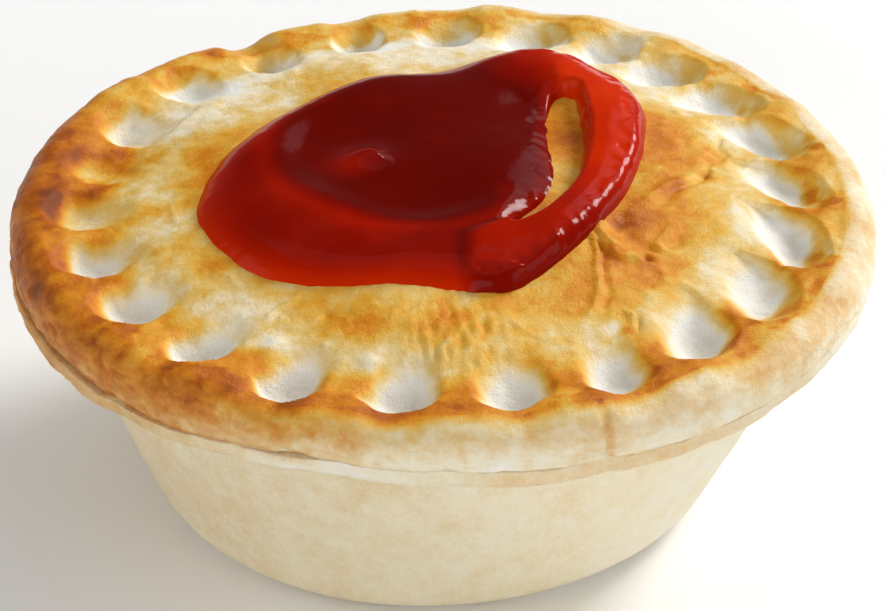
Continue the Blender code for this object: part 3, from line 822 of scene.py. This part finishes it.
def wall_rows(theta):
    """Rows down the wall and in along the base, with dents and with pocks left by the tin."""
    radius, level = wall_profile()
    up = level / FLANGE_UNDERSIDE
    radius = radius + (0.4 + 0.6 * up) * waves(theta, WALL_WAVES) * (up > 0)
    x = radius * np.cos(theta) + BASE_SHIFT[0] * (1 - up)
    y = radius * np.sin(theta) + BASE_SHIFT[1] * (1 - up)
    z = level + 0 * theta
    dent = 0.16 * rough(x, y, z, 9.0, 21) + 0.07 * rough(x, y, z, 2.2, 24)
    pock = 0.22 * blend(speckle(x, y, z, 1.5, 25), 0.72, 0.95)
    wider = 1 + (dent - pock) * blend(z, 0.5, 4.0) / radius
    return np.stack([x * wider, y * wider, z], axis=-1)


print("base radius in mm:", round(float(wall_profile()[0][-3, 0]), 1))

# %% [markdown]
# The tin kept the wall pale: it is cream with soft upright streaks, and painted shade darkens it
# towards the left. Only the flange, which stood out into the hot air, took some colour, most of it
# at the left.

# %% Case piece
CASE_COLUMNS = 600


def case_bake_and_shade(x, y, z, theta):
    """Bake of the wall, with painted shade that darkens it towards the left, and above 33 to 35 mm
    that of the flange.
    """
    wall = 0.19 + 0.045 * rough(x, y, 0.22 * z, 7.0, 22) + 0.03 * rough(x, y, 0.6 * z, 2.5, 23)
    wall = wall + 0.05 * blend(rough(x, y, 0.25 * z, 8.0, 26), 0.2, 0.6)
    # Painted shade: the wall is darker towards the left, away from the lamps at the right.
    wall = wall + 0.08 * np.cos(theta - math.radians(200))
    lip = 0.22 + 0.08 * np.cos(theta - math.radians(185)) + 0.14 * near(theta, -62, 26)
    lip = lip + 0.30 * near(theta, -165, 36) - 0.16 * near(theta, -103, 12)
    lip = lip + 0.25 * near(theta, SPLIT_ANGLE, 2.4) * blend(z, 37.2, 37.6)
    lip = lip + 0.07 * rough(x, y, z, 3.0, 27)
    high = blend(z, 33.0, 35.0)
    return wall * (1 - high) + lip * high


def case_grid():
    """Rows of points from the middle under the lid, out over the flange, down the wall and along
    the base, with the numbers bake and glazed for each."""
    theta = 2 * math.pi * np.arange(CASE_COLUMNS) / CASE_COLUMNS
    grid = np.concatenate([flange_rows(theta), wall_rows(theta)])
    bake = case_bake_and_shade(grid[..., 0], grid[..., 1], grid[..., 2], theta)
    return grid, {"bake": bake, "glazed": 0 * bake}


case_points, case_marks = case_grid()
case = skin("case_pastry", case_points, case_marks, closed_ends=True)
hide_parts("pastry_case")

# %% [markdown]
# ## The sauce
# The sauce left the bottle as one thick stream: a pool on the left that closed over itself, and a
# last loop round the right side that left a narrow gap where the crust shows. A fluid simulation
# would pour it, but never into this very shape. So its edge and the gap's edge are two smooth
# closed curves with the same parameter, and the surface is swept from one to the other.

# %% Sauce edges
# Pairs of places that face each other: one on the outer edge, one on the gap's edge.
SAUCE_EDGES = (
    ((28.6, 2.4), (20.3, 3.0)), ((29.9, 11.0), (20.6, 10.0)), ((30.0, 18.5), (20.4, 16.0)),
    ((28.0, 25.0), (19.9, 20.0)), ((23.5, 30.3), (18.9, 22.0)), ((17.8, 35.0), (17.8, 22.1)),
    ((11.5, 37.4), (16.7, 20.8)), ((5.0, 34.8), (16.0, 17.5)), ((-2.0, 31.2), (15.7, 13.5)),
    ((-12.0, 28.3), (15.7, 9.5)), ((-21.2, 21.6), (15.8, 6.0)), ((-28.2, 11.8), (16.1, 2.5)),
    ((-33.6, 1.2), (16.4, -1.0)), ((-35.2, -8.0), (15.8, -5.0)), ((-32.5, -16.8), (14.8, -8.0)),
    ((-26.0, -25.0), (13.2, -10.8)), ((-16.0, -29.2), (11.7, -12.8)),
    ((-6.0, -30.5), (10.4, -14.6)), ((3.5, -31.5), (9.6, -16.1)), ((8.8, -31.0), (9.8, -17.2)),
    ((14.0, -26.7), (11.4, -16.8)), ((19.2, -20.5), (14.0, -14.2)), ((23.8, -11.8), (17.0, -8.6)),
    ((26.7, -4.5), (19.2, -2.5)),
)
SAUCE_COLUMNS = 560


def closed_loop(knots, at, wanted):
    """A smooth closed curve: the knots stand at the distances at, and the last one is followed
    by the first again."""
    whole = at[-1]
    at = np.concatenate([at[-4:-1] - whole, at, at[1:4] + whole])
    knots = np.concatenate([knots[-3:], knots, knots[:4]])
    return np.stack([through(wanted, list(zip(at, column))) for column in knots.T], axis=-1)


def sauce_edges():
    """The outer edge and the gap's edge, each with one point for each column, made uneven."""
    outer_knots, gap_knots = np.array(SAUCE_EDGES).swapaxes(0, 1)
    steps = np.linalg.norm(np.roll(outer_knots, -1, axis=0) - outer_knots, axis=1)
    travelled = np.concatenate([[0.0], np.cumsum(steps)])
    wanted = travelled[-1] * np.arange(SAUCE_COLUMNS) / SAUCE_COLUMNS
    outer = closed_loop(outer_knots, travelled, wanted)
    inner = closed_loop(gap_knots, travelled, wanted)
    outer = outer * (1 + 0.22 * flat_rough(outer[:, 0], outer[:, 1], 5.0, 53) / 30)[:, None]
    inner = inner + 0.22 * flat_rough(inner[:, 0], inner[:, 1], 2.6, 54)[:, None]
    return outer, inner


print("sauce outline in mm:", np.round(np.ptp(sauce_edges()[0], axis=0), 1).tolist())

# %% [markdown]
# The last loop lies as a rope on the right. At the back it widens into the pool, and in front its
# end rests on the pool, with a slanted edge of its own. The first turns left a coil on the left: a
# lower middle, a step round it, and a small peak where the stream started.

# %% Rope and coil
ROPE_END = 3.2
OVERLAP_PLACE = 2.8
COIL_MIDDLE = (-4.0, 4.0)
COIL_RADII = (20.0, 21.0)
PEAK_PLACE = (-10.9, 0.3)


def in_front(y):
    """1 in the front part of the sauce, 0 in the back."""
    return blend(-y, 6, 13)


def rope_slant(y):
    """How far to the right the end of the rope has moved at this y."""
    return 8.0 * blend(y, -21.5, -14.5)


def rope_share(x, y, across):
    """How much of the sauce belongs to the last loop, 0 to 1. In the back it is the loop where
    the sauce is narrow across, and in front it is what lies to the right of the slanted end."""
    rope_end = blend(x - ROPE_END - rope_slant(y), -1.5, 2.3)
    rope_end = rope_end * (1 - (1 - blend(-y, 12.5, 16.5)) * (1 - blend(x, 11.5, 14.0)))
    return (1 - blend(across, 11, 24)) * (1 - in_front(y)) + rope_end * in_front(y)


def coil_place(x, y):
    """How clearly the coil shows in this direction, 0 to 1, and the distance from its middle,
    which is 1 at the step."""
    bearing = np.arctan2(y - COIL_MIDDLE[1], x - COIL_MIDDLE[0])
    coiled = blend(0.45 - 0.9 * np.cos(bearing - math.radians(40)), 0.0, 1.0)
    along_x = (x - COIL_MIDDLE[0]) / COIL_RADII[0]
    along_y = (y - COIL_MIDDLE[1]) / COIL_RADII[1]
    return coiled, np.hypot(along_x, along_y)


def sauce_peak(x, y):
    """Height of the small peak, a bell with a flatter top, a bump on its near side, and soft
    unevenness over the whole pool."""
    away2 = (x - PEAK_PLACE[0]) ** 2 + (y - PEAK_PLACE[1]) ** 2
    peak = 1.9 * np.exp(-((away2 / 3.2**2) ** 0.8)) + spots(x, y, ((-9.7, -0.5, 1.4, 0.4),))
    return peak + 0.14 * flat_rough(x, y, 11.0, 56)


print("peak in mm:", np.round(sauce_peak(*np.array(PEAK_PLACE)[:, None]), 2).tolist())

# %% [markdown]
# Surface tension rounds the edges of any thick liquid: steeply at the rope, which is a round
# stream, and softly at the pool, which had time to spread. A parabola raised to a power does both.

# %% Thickness of the sauce
POOL_THICKNESS = 1.7
ROPE_THICKNESS = 3.2
ROPE_EDGE = 1.9
GAP_EDGE = 5.0
POOL_EDGE = 6.5


def sauce_thickness(x, y, across, share, rope):
    """Thickness of the sauce. across is its width from the gap's edge to the outer edge there,
    and share is 0 at the gap's edge and 1 at the outer one. The edge rises as (2t - t^2) to the
    power 1 at the pool and 0.65 at the rope, where t is 0 at the edge and 1 where it ends."""
    coiled, from_middle = coil_place(x, y)
    pool = POOL_THICKNESS + coiled * blend(from_middle, 0.76, 1.04) + sauce_peak(x, y)
    pool = pool - 1.1 * blend(x, 6, 17) * (1 - coiled)
    wobble = 0.20 * flat_speckle(x, y, 2.6, 51) + 0.07 * flat_speckle(x, y, 1.2, 52)
    loop = ROPE_THICKNESS - 0.8 * rope * blend(share, 0.35, 0.98)
    loop = loop + wobble * blend(share, 0.45, 0.75)
    loop = loop + 0.25 * blend(share, 0.6, 0.8) * in_front(y) * flat_speckle(x, y, 1.7, 57)
    gap_side = (1 - blend(share * across, 2.5, 5.0)) * blend(x, 5, 9)
    body = (pool + 1.1 * wobble * gap_side) * (1 - rope) + loop * rope
    width = ROPE_EDGE * rope + np.where(share < 0.5, GAP_EDGE, POOL_EDGE) * (1 - rope)
    width = np.minimum(width, 0.5 * across)
    t = np.clip(np.minimum(share, 1 - share) * across / width, 0, 1)
    return body * np.clip(1 - (1 - t) ** 2, 0, 1) ** (1.0 - 0.35 * rope)


print("rope over pool in mm:", round(ROPE_THICKNESS - POOL_THICKNESS, 2))

# %% [markdown]
# Light goes a little way into tomato sauce. Where it is thin it shows orange-red, and where it is
# deep a dark wine red. Real transparency would be slow to render and hard to steer, so a third
# number, deep, says how dark each point is: 0 at the thin edges and 1 in the middle of the pool.
# The same number also carries painted light, a glow near the peak and a lit band along the coil's
# step, and painted shade on the rope's outer face and front end and in the fold where its end lies.

# %% Depth of the sauce's colour, with painted light and shade
# Painted light: a glow on the near left of the peak, where lamp light comes through the sauce.
LIT_SPOT = ((-12.6, -1.2, 3.8, 1.0),)


def sauce_depth_light_and_shade(x, y, across, share, rope):
    """The number deep: darkest in the middle, redder on the coil outside its step, at the gap's
    edge and along the rope. Painted light makes it redder on the coil's step and near the peak;
    painted shade makes it darker on the rope's outer face and front end, and in the fold where the
    rope's end lies."""
    coiled, from_middle = coil_place(x, y)
    # Painted light: a lighter band along the coil's step, where the ridge catches the lamps.
    lit_step_band = coiled * np.exp(-(((from_middle - 1.06) / 0.11) ** 2))
    redder = 0.16 * lit_step_band + 0.38 * coiled * blend(from_middle, 0.95, 1.15)
    redder = redder + 0.48 * spots(x, y, LIT_SPOT)
    redder = redder + 0.35 * (1 - rope) * (1 - blend(share * across, 0.0, 4.5))
    outside = blend((1 - share) * across, -1.5, 7.0)
    # The rope is darker on its outer face as painted shade, and at its front end partly where it
    # lies over the pool and partly as painted shade.
    loop = 0.44 - 0.36 * blend(y, -20, 4) + 0.24 * blend(share, 0.66, 0.93)
    # Painted shade in the fold where the rope's end lies on the pool.
    fold_shade = np.exp(-(((x - OVERLAP_PLACE - rope_slant(y)) / 1.3) ** 2)) * blend(-y, 12, 16)
    cloud_and_fold_shade = 0.14 * flat_rough(x, y, 9.0, 55) + 0.20 * fold_shade
    return outside * (1 - redder) * (1 - rope) + loop * rope + cloud_and_fold_shade * outside


print("lit spot at:", LIT_SPOT[0][:2])

# %% [markdown]
# The sauce bridges the crust's small relief, and only its edges follow it. Its underside lies a
# little inside the crust with a sixth of the rows, because it is never seen.

# %% Sauce piece
SAUCE_ROWS = 96
UNDER_ROW_STEP = 6


def sauce_grid():
    """Rows of points from the gap's edge over the sauce to its outer edge, and back beneath."""
    outer, inner = sauce_edges()
    across = np.linalg.norm(outer - inner, axis=1)
    share = 0.5 - 0.5 * np.cos(math.pi * np.linspace(0, 1, SAUCE_ROWS))[:, None]
    plan = inner + (outer - inner) * share[..., None]
    x, y = plan[..., 0], plan[..., 1]
    radius, angle = np.hypot(x, y), np.arctan2(y, x)
    from_edge = np.minimum(share, 1 - share) * across
    crust = lid_height(radius, angle)[0] - 0.15
    bridged = blend(from_edge, 0.0, 1.2)
    base = crust * (1 - bridged) + (dome(radius, angle) - 0.05) * bridged
    rope = rope_share(x, y, across)
    top = np.stack([x, y, base + sauce_thickness(x, y, across, share, rope)], axis=-1)
    under = np.stack([x, y, crust - 0.1 * (from_edge > 0.4)], axis=-1)
    under = under[-UNDER_ROW_STEP:UNDER_ROW_STEP - 1:-UNDER_ROW_STEP]
    deep = sauce_depth_light_and_shade(x, y, across, share, rope)
    deep = np.concatenate([deep, np.full(under.shape[:2], 0.5)])
    return np.concatenate([top, under]), {"deep": deep}


sauce_points, sauce_marks = sauce_grid()
sauce = skin("sauce_pool", sauce_points, sauce_marks, closed_ends=False)
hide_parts("tomato_sauce")

# %% [markdown]
# ## Materials from nodes
# A material in Blender is a small net of nodes. A few helpers keep the nets short: they make a
# node and set its inputs, read a number from the mesh, make noise, add and take off numbers, and
# turn a number into a colour.

# %% Node helpers
def node(tree, kind, **inputs):
    """A node of that kind with some inputs set, linked where the value is another node's output."""
    made = tree.nodes.new(kind)
    for label, value in inputs.items():
        socket = made.inputs[label.replace("_", " ")]
        if isinstance(value, bpy.types.NodeSocket):
            tree.links.new(value, socket)
        else:
            socket.default_value = value
    return made


def noise(tree, place, scale, detail, roughness):
    """Soft noise from 0 to 1; scale is in lumps for each metre."""
    inputs = {"Vector": place, "Scale": scale, "Detail": detail, "Roughness": roughness}
    return node(tree, "ShaderNodeTexNoise", **inputs).outputs["Fac"]


def attribute(tree, name):
    """The number of that name which the mesh keeps for each point."""
    made = tree.nodes.new("ShaderNodeAttribute")
    made.attribute_name = name
    return made.outputs["Fac"]


def add_up(tree, first, second, factor):
    """first + second * factor as one node."""
    made = tree.nodes.new("ShaderNodeMath")
    made.operation = "MULTIPLY_ADD"
    tree.links.new(second, made.inputs[0])
    made.inputs[1].default_value = factor
    tree.links.new(first, made.inputs[2])
    return made.outputs["Value"]


def take_off(tree, value, amount):
    """value - amount as one node."""
    made = tree.nodes.new("ShaderNodeMath")
    made.operation = "SUBTRACT"
    tree.links.new(value, made.inputs[0])
    made.inputs[1].default_value = amount
    return made.outputs["Value"]


def ramp(tree, value, stops):
    """A colour ramp with stops of position and linear colour."""
    made = tree.nodes.new("ShaderNodeValToRGB")
    tree.links.new(value, made.inputs["Fac"])
    band = made.color_ramp
    while len(band.elements) < len(stops):
        band.elements.new(0.5)
    for element, (position, colour) in zip(band.elements, stops):
        element.position = position
        element.color = (*colour, 1.0)
    return made.outputs["Color"]


print("render engine:", bpy.context.scene.render.engine)

# %% [markdown]
# ## Baked pastry
# The material reads the bake number, breaks it up with two sizes of noise, and sends it through
# two colour ramps from raw white to brown. Egg glaze browns to a clear amber and bare dough to a
# duller, pinkish brown; the number glazed mixes the two. Glazed brown parts are a little shiny
# and the floury prints are matt. Fine bumps are the grain of the dough.

# %% Pastry material
GLAZED_COLOURS = (
    (0.00, (0.83, 0.82, 0.755)), (0.18, (0.84, 0.73, 0.50)), (0.36, (0.76, 0.53, 0.17)),
    (0.52, (0.75, 0.40, 0.042)), (0.68, (0.68, 0.24, 0.008)), (0.84, (0.46, 0.11, 0.004)),
    (1.00, (0.22, 0.05, 0.006)),
)
BARE_COLOURS = (
    (0.00, (0.87, 0.85, 0.78)), (0.20, (0.83, 0.74, 0.53)), (0.40, (0.74, 0.51, 0.24)),
    (0.60, (0.62, 0.28, 0.070)), (0.80, (0.47, 0.14, 0.022)), (1.00, (0.22, 0.06, 0.015)),
)
PASTRY_ROUGHNESS = ((0.05, (0.8,) * 3), (0.3, (0.5,) * 3), (0.6, (0.36,) * 3))
PATCH_STRENGTH = 0.26
FLECK_STRENGTH = 0.22


def pastry(name, grain):
    """Baked pastry. grain is how strongly its fine bumps show. Noise is 0.5 on average, so half
    of its strength is taken off again to leave the mean bake as it was."""
    made = bpy.data.materials.new(name)
    made.use_nodes = True
    tree = made.node_tree
    shader = tree.nodes["Principled BSDF"]
    place = tree.nodes.new("ShaderNodeTexCoord").outputs["Object"]
    patch = noise(tree, place, 300.0, 6.0, 0.65)
    fleck = noise(tree, place, 1500.0, 4.0, 0.7)
    browned = add_up(tree, attribute(tree, "bake"), patch, PATCH_STRENGTH)
    browned = add_up(tree, browned, fleck, FLECK_STRENGTH)
    browned = take_off(tree, browned, 0.5 * (PATCH_STRENGTH + FLECK_STRENGTH))
    mix = tree.nodes.new("ShaderNodeMixRGB")
    tree.links.new(attribute(tree, "glazed"), mix.inputs["Fac"])
    tree.links.new(ramp(tree, browned, BARE_COLOURS), mix.inputs["Color1"])
    tree.links.new(ramp(tree, browned, GLAZED_COLOURS), mix.inputs["Color2"])
    tree.links.new(mix.outputs["Color"], shader.inputs["Base Color"])
    tree.links.new(ramp(tree, browned, PASTRY_ROUGHNESS), shader.inputs["Roughness"])
    shader.inputs["Specular IOR Level"].default_value = 0.14
    fine, broad = noise(tree, place, 2400.0, 6.0, 0.65), noise(tree, place, 650.0, 5.0, 0.6)
    height = add_up(tree, fine, broad, 1.3)
    bump = node(tree, "ShaderNodeBump", Strength=grain, Distance=0.0005, Height=height)
    tree.links.new(bump.outputs["Normal"], shader.inputs["Normal"])
    return made


lid.data.materials.append(pastry("glazed_lid_pastry", 0.5))
case.data.materials.append(pastry("dry_case_pastry", 0.55))
print("pastry materials:", [piece.data.materials[0].name for piece in (lid, case)])

# %% [markdown]
# ## Wet sauce
# Tomato sauce is strained and thickened, so it is nearly smooth and mirrors the lamps. The number
# deep chooses its red, with soft clouds added, and faint bumps are its pulp.

# %% Sauce material
SAUCE_COLOURS = (
    (0.05, (0.60, 0.026, 0.0)), (0.35, (0.41, 0.010, 0.0)), (0.7, (0.22, 0.0035, 0.0)),
    (1.0, (0.11, 0.0015, 0.0)),
)


def wet_sauce(name):
    """Glossy tomato sauce, orange-red at its thin edges and dark red where it is deep."""
    made = bpy.data.materials.new(name)
    made.use_nodes = True
    tree = made.node_tree
    shader = tree.nodes["Principled BSDF"]
    place = tree.nodes.new("ShaderNodeTexCoord").outputs["Object"]
    amount = add_up(tree, attribute(tree, "deep"), noise(tree, place, 90.0, 3.0, 0.5), 0.12)
    tree.links.new(ramp(tree, amount, SAUCE_COLOURS), shader.inputs["Base Color"])
    shader.inputs["Roughness"].default_value = 0.15
    shader.inputs["IOR"].default_value = 1.38
    shader.inputs["Specular IOR Level"].default_value = 0.09
    pulp = noise(tree, place, 700.0, 3.0, 0.5)
    bump = node(tree, "ShaderNodeBump", Strength=0.14, Distance=0.0003, Height=pulp)
    tree.links.new(bump.outputs["Normal"], shader.inputs["Normal"])
    return made


sauce.data.materials.append(wet_sauce("wet_tomato_sauce"))
print("sauce material:", sauce.data.materials[0].name)
